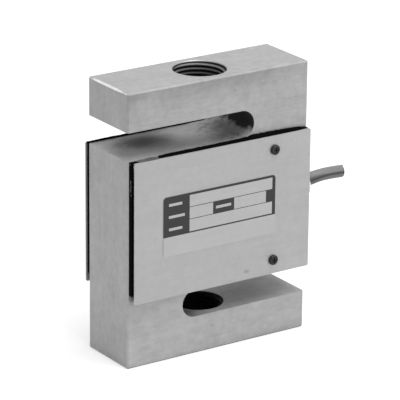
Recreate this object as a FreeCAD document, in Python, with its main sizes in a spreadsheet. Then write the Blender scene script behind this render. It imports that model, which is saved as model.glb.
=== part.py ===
import FreeCAD, Part
import math
import os
import Sketcher

# S type load cell: one steel block with two round ended slots, so that a load between the two tapped
# arms bends the middle. Thin covers close the double bored window that holds the strain gauges.
#
# +Z is up along the load line, +X points to the cable, and the labelled face looks along -Y.
# The origin is at the middle of the base face, in the middle of the lower tapped hole.

Vector = FreeCAD.Vector
Rotation = FreeCAD.Rotation
Placement = FreeCAD.Placement

alongX = Vector(1, 0, 0)
alongY = Vector(0, 1, 0)
alongZ = Vector(0, 0, 1)

# Name, size in millimetres and what it measures.
drivingSizes = [
    ("blockHeight", 101.6, "block, along the load line"),
    ("blockWidth", 76.2, "block, from side to side"),
    ("blockDepth", 25.4, "block, from front to back"),
    ("armHeight", 14.1, "each arm, from its outer face to the slot"),
    ("slotGap", 10.4, "width of each slot"),
    ("slotDepth", 53.0, "each slot, from its mouth to its round end"),
    ("edgeBreak", 0.5, "chamfer on the block's outer edges"),
    ("threadMajor", 19.05, "tapped holes, major diameter (3/4 inch)"),
    ("threadMouth", 19.85, "countersink at the mouth of each tapped hole"),
    ("windowBore", 27.0, "diameter of the window's two bores"),
    ("windowPitch", 33.0, "distance between the window's two bores"),
    ("windowWaist", 12.0, "height of the window between its bores"),
    ("portBore", 9.5, "diameter of the gland's hole in the block"),
    ("portDepth", 6.5, "depth of the gland's hole"),
    ("wireBore", 5.2, "diameter of the hole from there into the window"),
    ("coverWidth", 74.9, "each cover, from side to side"),
    ("coverHeight", 52.2, "each cover, from top to bottom"),
    ("coverSheet", 0.6, "thickness of each cover"),
    ("coverCorner", 0.6, "corner radius of each cover"),
    ("gasketWidth", 75.0, "each gasket, from side to side"),
    ("gasketHeight", 49.1, "each gasket, from top to bottom"),
    ("gasketLift", 1.65, "gasket's middle above the middle of the block"),
    ("gasketSheet", 1.7, "thickness of each gasket"),
    ("gasketOpeningWidth", 62.0, "opening in each gasket, from side to side"),
    ("gasketOpeningHeight", 32.0, "opening in each gasket, from top to bottom"),
    ("gasketOpeningCorner", 8.0, "corner radius of that opening"),
    ("screwInset", 15.65, "cover screws, in from the cover's flush side"),
    ("screwSpread", 41.7, "distance between a cover's two screws"),
    ("screwShank", 2.0, "diameter of the cover screws"),
    ("screwReach", 5.5, "how far a cover screw goes into the block"),
    ("screwHoleSpare", 0.9, "depth of a screw hole past its screw"),
    ("screwPlay", 0.4, "cover and gasket holes over the screw's diameter"),
    ("screwHeadWidth", 3.7, "diameter of a screw head"),
    ("screwHeadHeight", 1.05, "height of a screw head"),
    ("screwHeadBevel", 0.4, "bevel on a screw head's edge"),
    ("driveWidth", 2.0, "cross recess, from tip to tip"),
    ("driveSlot", 0.5, "width of each slot of the cross recess"),
    ("driveDepth", 0.6, "depth of the cross recess"),
    ("labelWidth", 47.8, "nameplate, from side to side"),
    ("labelHeight", 22.2, "nameplate, from top to bottom"),
    ("labelSheet", 0.15, "thickness of the nameplate"),
    ("labelCorner", 1.3, "corner radius of the nameplate"),
    ("labelShift", -0.9, "nameplate's middle, right of the block's middle"),
    ("labelLift", 0.4, "nameplate's middle, above the block's middle"),
    ("washerSheet", 0.8, "thickness of the gland's washer"),
    ("washerWidth", 13.0, "outer diameter of the washer"),
    ("stemLength", 5.5, "gland's stem inside the block"),
    ("stemPlay", 0.05, "gap round the stem"),
    ("glandFlats", 14.0, "gland body's hexagon, across its flats"),
    ("glandHexLength", 2.4, "length of that hexagon"),
    ("neckWidth", 10.0, "diameter of the neck that the cap screws onto"),
    ("neckLength", 2.6, "length of the neck"),
    ("glandBore", 5.4, "cable's hole through the gland body"),
    ("sealWidth", 7.8, "outer diameter of the cable seal"),
    ("sealSeat", 2.4, "depth of the seal's seat in the neck"),
    ("sealPlay", 0.05, "gap round the seal"),
    ("capWidth", 13.4, "outer diameter of the gland cap"),
    ("capFlats", 12.4, "gland cap, across its flats"),
    ("capLength", 4.2, "length of the gland cap"),
    ("capGap", 0.2, "gap between the hexagon and the cap"),
    ("capEnd", 1.1, "thickness of the cap's end wall"),
    ("capPlay", 0.05, "gap between the cap and the neck"),
    ("capMouth", 6.4, "cable's hole in the cap"),
    ("capBevel", 1.2, "bevel on the cap's end"),
    ("cableWidth", 4.6, "diameter of the cable"),
    ("cableInside", 2.5, "cable's inner end, past the edge of the window"),
    ("cableShown", 18.2, "how far the cable reaches past the gland's cap"),
    ("coreWidth", 1.0, "diameter of each of the cable's four cores"),
    ("coreSpread", 1.7, "distance between neighbouring cores in the cable"),
    ("gaugeLength", 7.5, "strain gauge, along its bore's arc"),
    ("gaugeWidth", 8.0, "strain gauge, from front to back"),
    ("gaugeSheet", 0.12, "thickness of a strain gauge with its backing"),
    ("boardWidth", 8.0, "terminal board, from side to side"),
    ("boardLength", 14.0, "terminal board, from front to back"),
    ("boardSheet", 1.2, "thickness of the terminal board"),
    ("postSide", 1.2, "side of each square solder post"),
    ("postHeight", 1.4, "height of a solder post above the board"),
    ("postSpread", 6.0, "distance between the two rows of posts"),
    ("postPitch", 3.6, "distance between neighbouring posts in a row"),
    ("leadHeight", 0.7, "where the cores meet the posts, above the board"),
    ("chipWidth", 1.8, "each chip resistor, from front to back"),
    ("chipHeight", 0.6, "height of a chip resistor"),
    ("chipCap", 0.6, "length of the metal cap at each end of a chip"),
    ("chipCapStep", 0.05, "step from a chip's cap to its middle"),
    ("bridgeWire", 0.4, "diameter of the wires from the gauges"),
    ("bridgeWireGap", 0.005, "gap under each such wire's end, which clears its curved gauge"),
    ("bridgeWireRise", 1.5, "straight start of each such wire, square to its gauge"),
]

# Places that several pieces share, as formulas of the sheet.
middleUp = "Sizes.blockHeight / 2"
blockSide = "Sizes.blockWidth / 2"
blockFace = "Sizes.blockDepth / 2"
coverBack = "(Sizes.blockDepth / 2 + Sizes.gasketSheet)"
coverFace = "(Sizes.blockDepth / 2 + Sizes.gasketSheet + Sizes.coverSheet)"
screwAcross = "(Sizes.blockWidth / 2 - Sizes.screwInset)"
screwUp = "Sizes.screwSpread / 2"
neckEnd = "(Sizes.washerSheet + Sizes.glandHexLength + Sizes.neckLength)"
capStart = "(Sizes.washerSheet + Sizes.glandHexLength + Sizes.capGap)"
capEnds = "(Sizes.washerSheet + Sizes.glandHexLength + Sizes.capGap + Sizes.capLength)"
boardTop = "(Sizes.boardSheet - Sizes.windowWaist / 2)"

arcShare = 0.45  # part of the shorter run that a cord's arc takes up
wireSides = 4  # flat sides of the fine wires from the gauges
coreSides = 6  # flat sides of the cable's cores
postRows = (-1.5, -0.5, 0.5, 1.5)  # places of the four posts in a row, in pitches
volumeError = 0.01  # largest share by which a swept tube may miss its section times its length

# The cable's line past the gland's cap: share of the length shown, and height over the gland's axis.
cableLine = ((0.13, 0.47), (0.35, 1.12), (0.65, 1.4), (1.0, 1.0))
leadStraight = 0.25  # part of a core's way to its post that it runs straight out of the cable
leadLevel = 0.28  # part of that way that it runs level, in front of its post
tabShare = 0.9  # place of the solder tabs on a gauge, as part of its half length


def fillSheet(doc):
    sheet = doc.addObject("Spreadsheet::Sheet", "Sizes")
    for row, (alias, value, meaning) in enumerate(drivingSizes, start=1):
        sheet.set(f"A{row}", meaning)
        sheet.set(f"B{row}", str(value))
        sheet.setAlias(f"B{row}", alias)
    doc.recompute()
    return sheet


def measure(doc, formula):
    return float(doc.getObject("Sizes").evalExpression(formula))


# ---- helpers for sketches ----

def newBody(doc, label, across="0", forward="0", up="0", rotation=None):
    body = doc.addObject("PartDesign::Body", label)
    body.Label = label
    place(body, across, forward, up, rotation)
    return body


def place(item, across, forward, up, rotation=None):
    if rotation is not None:
        item.Placement = Placement(Vector(0, 0, 0), rotation)
    item.setExpression("Placement.Base.x", across)
    item.setExpression("Placement.Base.y", forward)
    item.setExpression("Placement.Base.z", up)


def newSketch(body, name, plane, offset=None):
    sketch = body.newObject("Sketcher::SketchObject", name)
    origin = [item for item in body.Origin.OriginFeatures if item.Role == plane][0]
    sketch.AttachmentSupport = [(origin, "")]
    sketch.MapMode = "FlatFace"
    if offset is not None:
        sketch.setExpression("AttachmentOffset.Base.z", offset)
    return sketch


def pin(sketch, geometry, point, across, up):
    for kind, formula in (("DistanceX", across), ("DistanceY", up)):
        start = measure(sketch.Document, formula)
        index = sketch.addConstraint(Sketcher.Constraint(kind, -1, 1, geometry, point, start))
        sketch.setExpression(f"Constraints[{index}]", formula)


def bindSize(sketch, kind, geometry, formula):
    start = measure(sketch.Document, formula)
    index = sketch.addConstraint(Sketcher.Constraint(kind, geometry, start))
    sketch.setExpression(f"Constraints[{index}]", formula)


def drawPolygon(sketch, corners):
    doc = sketch.Document
    spots = [Vector(measure(doc, across), measure(doc, up), 0) for across, up in corners]
    first = sketch.GeometryCount
    for start, end in zip(spots, spots[1:] + spots[:1]):
        sketch.addGeometry(Part.LineSegment(start, end))
    for step, (across, up) in enumerate(corners):
        following = first + (step + 1) % len(corners)
        sketch.addConstraint(Sketcher.Constraint("Coincident", first + step, 2, following, 1))
        pin(sketch, first + step, 1, across, up)


def drawBox(sketch, left, right, bottom, top):
    drawPolygon(sketch, [(left, bottom), (right, bottom), (right, top), (left, top)])


def drawCircle(sketch, across, up, diameter):
    doc = sketch.Document
    centre = Vector(measure(doc, across), measure(doc, up), 0)
    circle = sketch.addGeometry(Part.Circle(centre, alongZ, measure(doc, diameter) / 2))
    pin(sketch, circle, 3, across, up)
    bindSize(sketch, "Diameter", circle, diameter)


def drawSlot(sketch, mouth, endCentre, up, gap, towards):
    # A slot that is open at its mouth and ends in a half circle on the side that towards gives.
    doc = sketch.Document
    radius = measure(doc, gap) / 2
    centre = Vector(measure(doc, endCentre), measure(doc, up), 0)
    mouthAt = measure(doc, mouth)
    low = Vector(centre.x, centre.y - radius, 0)
    high = Vector(centre.x, centre.y + radius, 0)
    tip = Vector(centre.x + towards * radius, centre.y, 0)
    arc = sketch.addGeometry(Part.ArcOfCircle(low, tip, high))
    top = sketch.addGeometry(Part.LineSegment(high, Vector(mouthAt, high.y, 0)))
    side = sketch.addGeometry(Part.LineSegment(Vector(mouthAt, high.y, 0), Vector(mouthAt, low.y, 0)))
    bottom = sketch.addGeometry(Part.LineSegment(Vector(mouthAt, low.y, 0), low))
    arcHigh = 2 if towards > 0 else 1
    arcLow = 1 if towards > 0 else 2
    sketch.addConstraint(Sketcher.Constraint("Tangent", arc, arcHigh, top, 1))
    sketch.addConstraint(Sketcher.Constraint("Tangent", bottom, 2, arc, arcLow))
    sketch.addConstraint(Sketcher.Constraint("Coincident", top, 2, side, 1))
    sketch.addConstraint(Sketcher.Constraint("Coincident", side, 2, bottom, 1))
    sketch.addConstraint(Sketcher.Constraint("Horizontal", top))
    sketch.addConstraint(Sketcher.Constraint("Vertical", side))
    pin(sketch, arc, 3, endCentre, up)
    bindSize(sketch, "Radius", arc, f"({gap}) / 2")
    index = sketch.addConstraint(Sketcher.Constraint("DistanceX", -1, 1, side, 1, mouthAt))
    sketch.setExpression(f"Constraints[{index}]", mouth)


# ---- helpers for features ----

def pad(body, name, sketch, length, symmetric=False, backward=False):
    feature = body.newObject("PartDesign::Pad", name)
    feature.Profile = sketch
    feature.SideType = "Symmetric" if symmetric else "One side"
    feature.Reversed = backward
    feature.setExpression("Length", length)
    return feature


def pocket(body, name, sketch, length=None, backward=False):
    # Without a length the pocket goes right through, both ways.
    feature = body.newObject("PartDesign::Pocket", name)
    feature.Profile = sketch
    feature.Reversed = backward
    if length is None:
        feature.Type = "ThroughAll"
        feature.SideType = "Symmetric"
    else:
        feature.setExpression("Length", length)
    return feature


def revolve(body, name, sketch, axisLink):
    feature = body.newObject("PartDesign::Revolution", name)
    feature.Profile = sketch
    feature.ReferenceAxis = (sketch, [axisLink])
    feature.Angle = 360
    return feature


def straightEdges(shape, direction=None):
    names = []
    for index, edge in enumerate(shape.Edges, start=1):
        if edge.Curve.TypeId != "Part::GeomLine":
            continue
        if direction is None or edge.Curve.Direction.cross(direction).Length < 1e-6:
            names.append(f"Edge{index}")
    return names


def roundEdges(body, name, feature, edges, radius):
    fillet = body.newObject("PartDesign::Fillet", name)
    fillet.Base = (feature, edges)
    fillet.setExpression("Radius", radius)
    return fillet


def bevelEdges(body, name, feature, edges, size):
    chamfer = body.newObject("PartDesign::Chamfer", name)
    chamfer.Base = (feature, edges)
    chamfer.setExpression("Size", size)
    return chamfer


def ringEdge(shape, axial, radius):
    # The circular edge of that radius that lies in the plane x = axial or z = axial.
    for index, edge in enumerate(shape.Edges, start=1):
        if edge.Curve.TypeId != "Part::GeomCircle":
            continue
        centre = edge.Curve.Center
        if abs(edge.Curve.Radius - radius) < 1e-4 and abs(centre.x + centre.z - axial) < 1e-4:
            return [f"Edge{index}"]
    raise ValueError("no such circular edge")


# ---- the block ----

def makeSpringBody(doc):
    body = newBody(doc, "spring_body")
    outline = newSketch(body, "blockOutline", "XZ_Plane")
    drawBox(outline, f"-{blockSide}", blockSide, "0", "Sizes.blockHeight")
    block = pad(body, "block", outline, "Sizes.blockDepth", symmetric=True)
    doc.recompute()
    bevelEdges(body, "brokenEdges", block, straightEdges(block.Shape), "Sizes.edgeBreak")
    cutSlots(body)
    cutWindow(body)
    tapArms(doc, body)
    drillCablePort(body)
    drillScrewHoles(body)
    return body


def cutSlots(body):
    # The mouth of each slot is drawn one gap outside the block, so that it cuts clean through.
    upper = newSketch(body, "upperSlotShape", "XZ_Plane")
    drawSlot(
        upper,
        f"-{blockSide} - Sizes.slotGap",
        f"Sizes.slotDepth - Sizes.slotGap / 2 - {blockSide}",
        "Sizes.blockHeight - Sizes.armHeight - Sizes.slotGap / 2",
        "Sizes.slotGap",
        1,
    )
    pocket(body, "upperSlot", upper)
    lower = newSketch(body, "lowerSlotShape", "XZ_Plane")
    drawSlot(
        lower,
        f"{blockSide} + Sizes.slotGap",
        f"{blockSide} + Sizes.slotGap / 2 - Sizes.slotDepth",
        "Sizes.armHeight + Sizes.slotGap / 2",
        "Sizes.slotGap",
        -1,
    )
    pocket(body, "lowerSlot", lower)


def cutWindow(body):
    bores = newSketch(body, "windowBoreShape", "XZ_Plane")
    drawCircle(bores, "-Sizes.windowPitch / 2", middleUp, "Sizes.windowBore")
    drawCircle(bores, "Sizes.windowPitch / 2", middleUp, "Sizes.windowBore")
    pocket(body, "windowBores", bores)
    waist = newSketch(body, "windowWaistShape", "XZ_Plane")
    drawBox(
        waist,
        "-Sizes.windowPitch / 2",
        "Sizes.windowPitch / 2",
        f"{middleUp} - Sizes.windowWaist / 2",
        f"{middleUp} + Sizes.windowWaist / 2",
    )
    pocket(body, "windowWaist", waist)


def tapArms(doc, body):
    # Each hole runs through its arm and ends in the open slot behind it.
    arms = (("upperTap", "Sizes.blockHeight", False), ("lowerTap", "0", True))
    for name, level, upward in arms:
        centre = newSketch(body, name + "Centre", "XY_Plane", level)
        drawCircle(centre, "0", "0", "Sizes.threadMajor")
        doc.recompute()
        hole = body.newObject("PartDesign::Hole", name)
        hole.Profile = centre
        hole.Reversed = upward
        hole.DepthType = "Dimension"
        hole.DrillPoint = "Flat"
        hole.HoleCutType = "Countersink"
        hole.HoleCutCountersinkAngle = 90
        hole.setExpression("Diameter", "Sizes.threadMajor")
        hole.setExpression("Depth", "Sizes.armHeight + Sizes.slotGap / 2")
        hole.setExpression("HoleCutDiameter", "Sizes.threadMouth")
        doc.recompute()


def drillCablePort(body):
    port = newSketch(body, "portShape", "YZ_Plane", blockSide)
    drawCircle(port, "0", middleUp, "Sizes.portBore")
    pocket(body, "cablePort", port, "Sizes.portDepth")
    wireHole = newSketch(body, "wireHoleShape", "YZ_Plane", blockSide)
    drawCircle(wireHole, "0", middleUp, "Sizes.wireBore")
    pocket(body, "wireHole", wireHole, f"{blockSide} - Sizes.windowPitch / 2")


def drillScrewHoles(body):
    faces = (("front", blockFace, screwAcross, False), ("rear", f"-{blockFace}", f"-{screwAcross}", True))
    for name, offset, across, backward in faces:
        holes = newSketch(body, name + "ScrewHoleShape", "XZ_Plane", offset)
        for up in (f"{middleUp} + {screwUp}", f"{middleUp} - {screwUp}"):
            drawCircle(holes, across, up, "Sizes.screwShank")
        depth = "Sizes.screwReach + Sizes.screwHoleSpare"
        pocket(body, name + "ScrewHoles", holes, depth, backward)


# ---- covers, gaskets, nameplate and screws ----

def makeCover(doc, label, forward, turn):
    # Drawn for the front, with its right side flush with the block; the rear one is turned half round.
    body = newBody(doc, label, "0", forward, middleUp, Rotation(alongZ, turn))
    outline = newSketch(body, label + "Outline", "XZ_Plane")
    drawBox(
        outline,
        f"{blockSide} - Sizes.coverWidth",
        blockSide,
        "-Sizes.coverHeight / 2",
        "Sizes.coverHeight / 2",
    )
    sheet = pad(body, label + "Sheet", outline, "Sizes.coverSheet")
    doc.recompute()
    roundEdges(body, label + "Corners", sheet, straightEdges(sheet.Shape, alongY), "Sizes.coverCorner")
    holes = newSketch(body, label + "HoleShape", "XZ_Plane")
    for up in (screwUp, f"-{screwUp}"):
        drawCircle(holes, screwAcross, up, "Sizes.screwShank + Sizes.screwPlay")
    pocket(body, label + "Holes", holes)
    return body


def makeGasket(doc, label, forward, turn):
    body = newBody(doc, label, "0", forward, middleUp, Rotation(alongZ, turn))
    outline = newSketch(body, label + "Outline", "XZ_Plane")
    drawBox(
        outline,
        "-Sizes.gasketWidth / 2",
        "Sizes.gasketWidth / 2",
        "Sizes.gasketLift - Sizes.gasketHeight / 2",
        "Sizes.gasketLift + Sizes.gasketHeight / 2",
    )
    pad(body, label + "Sheet", outline, "Sizes.gasketSheet")
    opening = newSketch(body, label + "OpeningShape", "XZ_Plane")
    drawBox(
        opening,
        "-Sizes.gasketOpeningWidth / 2",
        "Sizes.gasketOpeningWidth / 2",
        "-Sizes.gasketOpeningHeight / 2",
        "Sizes.gasketOpeningHeight / 2",
    )
    cut = pocket(body, label + "Opening", opening)
    doc.recompute()
    inner = innerCorners(cut.Shape, measure(doc, "Sizes.gasketOpeningWidth") / 2)
    roundEdges(body, label + "OpeningCorners", cut, inner, "Sizes.gasketOpeningCorner")
    holes = newSketch(body, label + "HoleShape", "XZ_Plane")
    for up in (screwUp, f"-{screwUp}"):
        drawCircle(holes, screwAcross, up, "Sizes.screwShank + Sizes.screwPlay")
    pocket(body, label + "Holes", holes)
    return body


def innerCorners(shape, reach):
    # The edges through the sheet that stand at the opening's corners.
    names = straightEdges(shape, alongY)
    return [name for name in names if abs(shape.getElement(name).CenterOfMass.x) < reach + 1e-4]


def makeNameplate(doc):
    body = newBody(doc, "nameplate", "Sizes.labelShift", f"-{coverFace}", f"{middleUp} + Sizes.labelLift")
    outline = newSketch(body, "nameplateOutline", "XZ_Plane")
    drawBox(
        outline,
        "-Sizes.labelWidth / 2",
        "Sizes.labelWidth / 2",
        "-Sizes.labelHeight / 2",
        "Sizes.labelHeight / 2",
    )
    foil = pad(body, "nameplateFoil", outline, "Sizes.labelSheet")
    doc.recompute()
    roundEdges(body, "nameplateCorners", foil, straightEdges(foil.Shape, alongY), "Sizes.labelCorner")
    return body


def makeScrew(doc):
    # One pan head screw, pointing down, with the underside of its head at z = 0.
    body = newBody(doc, "coverScrewPattern")
    profile = newSketch(body, "screwProfile", "XZ_Plane")
    tip = "-(Sizes.coverSheet + Sizes.gasketSheet + Sizes.screwReach)"
    drawPolygon(
        profile,
        [
            ("0", tip),
            ("Sizes.screwShank / 2", tip),
            ("Sizes.screwShank / 2", "0"),
            ("Sizes.screwHeadWidth / 2", "0"),
            ("Sizes.screwHeadWidth / 2", "Sizes.screwHeadHeight"),
            ("0", "Sizes.screwHeadHeight"),
        ],
    )
    turned = revolve(body, "screwTurned", profile, "V_Axis")
    doc.recompute()
    headTop = measure(doc, "Sizes.screwHeadHeight")
    rim = ringEdge(turned.Shape, headTop, measure(doc, "Sizes.screwHeadWidth") / 2)
    bevelEdges(body, "screwHeadBevel", turned, rim, "Sizes.screwHeadBevel")
    slots = (("driveSlotAcross", "driveWidth", "driveSlot"), ("driveSlotAlong", "driveSlot", "driveWidth"))
    for name, wide, tall in slots:
        recess = newSketch(body, name + "Shape", "XY_Plane", "Sizes.screwHeadHeight")
        drawBox(
            recess,
            f"-Sizes.{wide} / 2",
            f"Sizes.{wide} / 2",
            f"-Sizes.{tall} / 2",
            f"Sizes.{tall} / 2",
        )
        pocket(body, name, recess, "Sizes.driveDepth")
    return body


def makeCoverScrews(doc):
    # The same screw four times: two through the front cover and two through the rear one.
    screw = makeScrew(doc)
    copies = []
    sides = ((f"-{coverFace}", screwAcross, 90), (coverFace, f"-{screwAcross}", -90))
    for forward, across, turn in sides:
        for up in (screwUp, f"-{screwUp}"):
            copy = doc.addObject("App::Link", "coverScrew")
            copy.LinkedObject = screw
            place(copy, across, forward, f"{middleUp} + {up}", Rotation(alongX, turn))
            copies.append(copy)
    group = doc.addObject("Part::Compound", "cover_screws")
    group.Label = "cover_screws"
    group.Links = copies
    return group


# ---- the cable gland, drawn from the block's side face, with its axis along x ----

def makeGlandWasher(doc):
    body = newBody(doc, "gland_washer", blockSide, "0", middleUp)
    ring = newSketch(body, "washerRing", "YZ_Plane")
    drawCircle(ring, "0", "0", "Sizes.washerWidth")
    drawCircle(ring, "0", "0", "Sizes.portBore")
    pad(body, "washerThickness", ring, "Sizes.washerSheet")
    return body


def makeGlandBody(doc):
    body = newBody(doc, "gland_body", blockSide, "0", middleUp)
    profile = newSketch(body, "glandProfile", "XZ_Plane")
    stem = "Sizes.portBore / 2 - Sizes.stemPlay"
    neck = "Sizes.neckWidth / 2"
    seat = "Sizes.sealWidth / 2 + Sizes.sealPlay"
    bore = "Sizes.glandBore / 2"
    seatStart = f"{neckEnd} - Sizes.sealSeat"
    drawPolygon(
        profile,
        [
            ("-Sizes.stemLength", bore),
            ("-Sizes.stemLength", stem),
            ("Sizes.washerSheet", stem),
            ("Sizes.washerSheet", neck),
            (neckEnd, neck),
            (neckEnd, seat),
            (seatStart, seat),
            (seatStart, bore),
        ],
    )
    revolve(body, "glandTurned", profile, "H_Axis")
    flats = newSketch(body, "glandHexagon", "YZ_Plane", "Sizes.washerSheet")
    drawHexagon(flats, "Sizes.glandFlats")
    drawCircle(flats, "0", "0", "Sizes.portBore - 2 * Sizes.stemPlay")
    pad(body, "glandFlange", flats, "Sizes.glandHexLength")
    return body


def drawHexagon(sketch, acrossFlats):
    corners = []
    for corner in range(6):
        angle = f"{60 * corner}"
        size = f"{acrossFlats} / 2 / cos(30)"
        corners.append((f"{size} * cos({angle})", f"{size} * sin({angle})"))
    drawPolygon(sketch, corners)


def makeGlandCap(doc):
    body = newBody(doc, "gland_cap", blockSide, "0", middleUp)
    profile = newSketch(body, "capProfile", "XZ_Plane")
    outside = "Sizes.capWidth / 2"
    cavity = "Sizes.neckWidth / 2 + Sizes.capPlay"
    mouth = "Sizes.capMouth / 2"
    drawPolygon(
        profile,
        [
            (capStart, cavity),
            (capStart, outside),
            (capEnds, outside),
            (capEnds, mouth),
            (f"{capEnds} - Sizes.capEnd", mouth),
            (f"{capEnds} - Sizes.capEnd", cavity),
        ],
    )
    turned = revolve(body, "capTurned", profile, "H_Axis")
    doc.recompute()
    rim = ringEdge(turned.Shape, measure(doc, capEnds), measure(doc, outside))
    bevelEdges(body, "capBevel", turned, rim, "Sizes.capBevel")
    flat = newSketch(body, "capFlatShape", "YZ_Plane")
    drawBox(flat, "-Sizes.capWidth / 2", "Sizes.capWidth / 2", "Sizes.capFlats / 2", "Sizes.capWidth")
    cut = pocket(body, "capFlat", flat)
    doc.recompute()
    flats = body.newObject("PartDesign::PolarPattern", "capFlats")
    flats.Originals = [cut]
    flats.Axis = (flat, ["N_Axis"])
    flats.Angle = 360
    flats.Occurrences = 6
    body.Tip = flats
    return body


def makeGlandSeal(doc, cable):
    # A rubber sleeve that takes up the cable's own path, and touches the cap's end wall.
    start = f"{blockSide} + {neckEnd} - Sizes.sealSeat"
    sleeve = doc.addObject("Part::Cylinder", "sealSleeve")
    sleeve.setExpression("Radius", "Sizes.sealWidth / 2")
    sleeve.setExpression("Height", f"{capEnds} - Sizes.capEnd - {neckEnd} + Sizes.sealSeat")
    place(sleeve, start, "0", middleUp, Rotation(alongY, 90))
    seal = doc.addObject("Part::Cut", "gland_seal")
    seal.Label = "gland_seal"
    seal.Base = sleeve
    seal.Tool = cable
    return seal


# ---- the cable, its cores and the bridge wires ----

def roundedPath(points):
    # Straight runs joined by tangent arcs, each as large as its two runs allow.
    edges = []
    start = points[0]
    for before, corner, after in zip(points, points[1:], points[2:]):
        back = before - corner
        onward = after - corner
        trim = arcShare * min(back.Length, onward.Length)
        back.normalize()
        onward.normalize()
        halfTurn = (math.pi - back.getAngle(onward)) / 2
        radius = trim / math.tan(halfTurn)
        inward = (back + onward).normalize()
        arcMiddle = corner + inward * (radius / math.cos(halfTurn) - radius)
        arcStart = corner + back * trim
        arcEnd = corner + onward * trim
        edges.append(Part.LineSegment(start, arcStart).toShape())
        edges.append(Part.Arc(arcStart, arcMiddle, arcEnd).toShape())
        start = arcEnd
    edges.append(Part.LineSegment(start, points[-1]).toShape())
    return Part.Wire(edges)


def sweptTube(points, diameter, sides=None):
    # Round, or with that many flat sides where the wire is too fine for its roundness to matter.
    path = roundedPath(points)
    direction = (points[1] - points[0]).normalize()
    if sides is None:
        section = Part.Wire(Part.Circle(points[0], direction, diameter / 2).toShape())
    else:
        outward = direction.cross(alongY).normalize() * (diameter / 2)
        turns = [Rotation(direction, 360 * side / sides) for side in range(sides)]
        corners = [points[0] + turn.multVec(outward) for turn in turns]
        section = Part.makePolygon(corners + corners[:1])
    tube = path.makePipeShell([section], True, False)
    expected = path.Length * Part.Face(section).Area
    if abs(tube.Volume - expected) > volumeError * expected:
        raise ValueError("a tube's volume differs from its section times its length")
    return tube


def addTubes(doc, label, tubes):
    feature = doc.addObject("Part::Feature", label)
    feature.Label = label
    feature.Shape = tubes[0] if len(tubes) == 1 else Part.Compound(tubes)
    place(feature, "0", "0", middleUp)
    return feature


def cableRoute(doc):
    # It starts inside the window, passes through the gland and rises a little on its way to the cut end.
    windowEdge = "(Sizes.windowPitch / 2 + Sizes.windowBore / 2)"
    inner = measure(doc, f"{windowEdge} - Sizes.cableInside")
    glandMouth = measure(doc, f"{blockSide} + {capEnds}")
    shown = measure(doc, "Sizes.cableShown")
    return [Vector(inner, 0, 0)] + [Vector(glandMouth + share * shown, 0, up) for share, up in cableLine]


def makeCable(doc):
    route = cableRoute(doc)
    print("cable route, mm:", ", ".join(f"{spot.x:.2f} {spot.z:.2f}" for spot in route))
    arcs = [edge for edge in roundedPath(route).Edges if edge.Curve.TypeId == "Part::GeomCircle"]
    print("cable arc radii, mm:", ", ".join(f"{arc.Curve.Radius:.0f}" for arc in arcs))
    return addTubes(doc, "cable", [sweptTube(route, measure(doc, "Sizes.cableWidth"))])


def makeLead(doc, label, row, side, level):
    # One core: square out of the cable's inner end, fanned out and down to its own post.
    start, onward = cableRoute(doc)[:2]
    inward = (start - onward).normalize()
    upward = alongY.cross(inward)
    spread = measure(doc, "Sizes.coreSpread") / 2
    postFace = measure(doc, "(Sizes.postSpread + Sizes.postSide) / 2")
    postForward = row * measure(doc, "Sizes.postPitch")
    joint = measure(doc, f"{boardTop} + Sizes.leadHeight")
    span = start.x - postFace
    coreStart = start + alongY * (side * spread) + upward * (level * spread)
    route = [
        coreStart,
        coreStart + inward * (leadStraight * span),
        Vector(postFace + leadLevel * span, postForward, joint),
        Vector(postFace, postForward, joint),
    ]
    return addTubes(doc, label, [sweptTube(route, measure(doc, "Sizes.coreWidth"), coreSides)])


def makeBridgeWires(doc):
    # Two wires from each gauge to the nearest row of posts: the upper gauges' wires drop onto the two
    # middle posts, and the lower gauges' wires come up past the board's edge to the two outer ones.
    # The wires hang loose, so the places of their bends are chosen freely.
    diameter = measure(doc, "Sizes.bridgeWire")
    boreCentre = measure(doc, "Sizes.windowPitch / 2")
    wireStart = measure(doc, "Sizes.windowBore / 2 - Sizes.gaugeSheet - Sizes.bridgeWireGap")
    wireTurn = wireStart - measure(doc, "Sizes.bridgeWireRise")
    tabAngle = math.asin(tabShare * measure(doc, "Sizes.gaugeLength / 2") / wireStart)
    postAcross = measure(doc, "Sizes.postSpread / 2")
    postTop = measure(doc, f"{boardTop} + Sizes.postHeight")
    pitch = measure(doc, "Sizes.postPitch")
    tabAcross = boreCentre - wireStart * math.sin(tabAngle)
    tabUp = wireStart * math.cos(tabAngle)
    turnAcross = boreCentre - wireTurn * math.sin(tabAngle)
    turnUp = wireTurn * math.cos(tabAngle)
    tubes = []
    for side in (-1, 1):
        for row in (-1, 1):
            upper = [
                Vector(side * tabAcross, row * 0.35 * pitch, tabUp),
                Vector(side * turnAcross, row * 0.35 * pitch, turnUp),
                Vector(side * (turnAcross - 3.8), row * 0.4 * pitch, turnUp - 3.4),
                Vector(side * postAcross, row * 0.5 * pitch, 1.2),
                Vector(side * postAcross, row * 0.5 * pitch, postTop),
            ]
            lower = [
                Vector(side * tabAcross, row * 0.9 * pitch, -tabUp),
                Vector(side * turnAcross, row * 0.9 * pitch, -turnUp),
                Vector(side * (turnAcross - 3.2), row * 0.95 * pitch, 3.8 - turnUp),
                Vector(side * (postAcross + 3.6), row * pitch, -1.4),
                Vector(side * postAcross, row * 1.5 * pitch, 1.1),
                Vector(side * postAcross, row * 1.5 * pitch, postTop),
            ]
            for route in (upper, lower):
                tubes.append(sweptTube(route, diameter, wireSides))
    return addTubes(doc, "bridge_wires", tubes)


# ---- the bridge inside the window ----

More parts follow.
